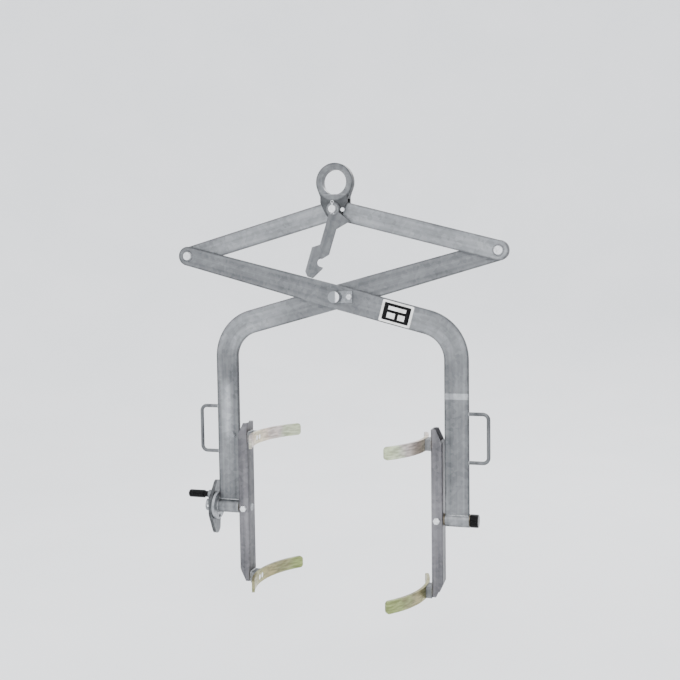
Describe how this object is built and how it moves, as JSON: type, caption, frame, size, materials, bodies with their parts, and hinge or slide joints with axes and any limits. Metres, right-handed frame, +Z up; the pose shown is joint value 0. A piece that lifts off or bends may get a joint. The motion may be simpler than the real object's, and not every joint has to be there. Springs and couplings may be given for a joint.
{
  "type": "drum turning clamp",
  "caption": "Scissor tongs that hang from a crane hook and grip a steel drum between two turning jaws, with claws, guide handles, an index lock for the turn and a hold-open latch.",
  "frame": {"origin": "centre of the hook hole in the lifting eye", "axes": "+X to the right in the plane of the scissors, +Y away from the front, +Z up; the jaws turn about axes along X"},
  "size_m": [1.1264, 0.4126, 1.4112],
  "materials": {
    "galvanised_steel": "hot-dip galvanised, streaked",
    "zinc_plated_steel": "bright zinc plated",
    "claw_steel": "pale passivated zinc",
    "bronze": "bearing bronze",
    "black_plastic": "satin black"
  },
  "bodies": {
    "hanger": {"lifting_eye": "galvanised_steel", "eye_cheeks": "galvanised_steel", "top_pin": "zinc_plated_steel", "top_pin_washers": "zinc_plated_steel", "top_split_pin": "zinc_plated_steel", "latch_stop_screw": "zinc_plated_steel"},
    "latch": {"latch": "galvanised_steel"},
    "left_link": {"left_link": "galvanised_steel", "left_pin": "zinc_plated_steel", "left_pin_washers": "zinc_plated_steel", "left_split_pin": "zinc_plated_steel"},
    "right_link": {"right_link": "galvanised_steel", "right_pin": "zinc_plated_steel", "right_pin_washers": "zinc_plated_steel", "right_split_pin": "zinc_plated_steel"},
    "right_arm": {"right_arm_plate": "galvanised_steel", "centre_pin": "zinc_plated_steel", "centre_pin_washers": "zinc_plated_steel", "centre_split_pin": "zinc_plated_steel", "keeper_plate": "zinc_plated_steel", "keeper_screw": "zinc_plated_steel", "right_bearing_tube": "galvanised_steel", "right_bushes": "bronze", "right_handle": "galvanised_steel"},
    "left_arm": {"left_arm_plate": "galvanised_steel", "left_bearing_tube": "galvanised_steel", "left_bushes": "bronze", "left_handle": "galvanised_steel", "index_flange": "galvanised_steel", "arm_screw": "zinc_plated_steel"},
    "right_jaw": {"right_jaw_bar": "galvanised_steel", "right_jaw_shaft": "zinc_plated_steel", "right_cross_bolt": "zinc_plated_steel", "right_upper_claw": "claw_steel", "right_lower_claw": "claw_steel", "right_claw_blocks": "galvanised_steel", "right_claw_screws": "zinc_plated_steel", "right_thrust_washer": "bronze", "right_collar": "zinc_plated_steel", "right_end_cap": "black_plastic"},
    "left_jaw": {"left_jaw_bar": "galvanised_steel", "left_jaw_shaft": "zinc_plated_steel", "left_cross_bolt": "zinc_plated_steel", "left_upper_claw": "claw_steel", "left_lower_claw": "claw_steel", "left_claw_blocks": "galvanised_steel", "left_claw_screws": "zinc_plated_steel", "left_thrust_washers": "bronze", "crank_plate": "galvanised_steel", "crank_hub": "galvanised_steel", "hub_pin": "zinc_plated_steel", "bolt_guard": "galvanised_steel"},
    "index_bolt": {"index_bolt": "zinc_plated_steel", "index_grip": "black_plastic"}
  },
  "joints": [
    {"name": "clamp_open", "type": "hinge", "parent": "hanger", "child": "left_link", "pos_m": [0, 0, -0.088], "axis": [0, 1, 0], "range_deg": [0, 5.67]},
    {"name": "right_link_swing", "type": "hinge", "parent": "hanger", "child": "right_link", "pos_m": [0, 0, -0.088], "axis": [0, 1, 0], "range_deg": [-5.67, 0]},
    {"name": "right_arm_fold", "type": "hinge", "parent": "left_link", "child": "right_arm", "pos_m": [-0.53126, 0, -0.23035], "axis": [0, 1, 0], "range_deg": [-11.34, 0]},
    {"name": "left_arm_fold", "type": "hinge", "parent": "right_link", "child": "left_arm", "pos_m": [0.53126, 0, -0.23035], "axis": [0, 1, 0], "range_deg": [0, 11.34]},
    {"name": "right_jaw_turn", "type": "hinge", "parent": "right_arm", "child": "right_jaw", "pos_m": [0.3975, 0, -1.0907], "axis": [1, 0, 0], "continuous": true},
    {"name": "left_jaw_turn", "type": "hinge", "parent": "left_arm", "child": "left_jaw", "pos_m": [-0.3975, 0, -1.0907], "axis": [1, 0, 0], "continuous": true},
    {"name": "index_bolt_slide", "type": "slide", "parent": "left_jaw", "child": "index_bolt", "axis": [1, 0, 0], "range_m": [0, 0.012]},
    {"name": "latch_swing", "type": "hinge", "parent": "hanger", "child": "latch", "pos_m": [0, 0, -0.088], "axis": [0, -1, 0], "range_deg": [-20, 14.45]}
  ],
  "couplings": [
    {"joint": "right_link_swing", "follows": "clamp_open", "ratio": -1},
    {"joint": "right_arm_fold", "follows": "clamp_open", "ratio": -2},
    {"joint": "left_arm_fold", "follows": "clamp_open", "ratio": 2}
  ]
}
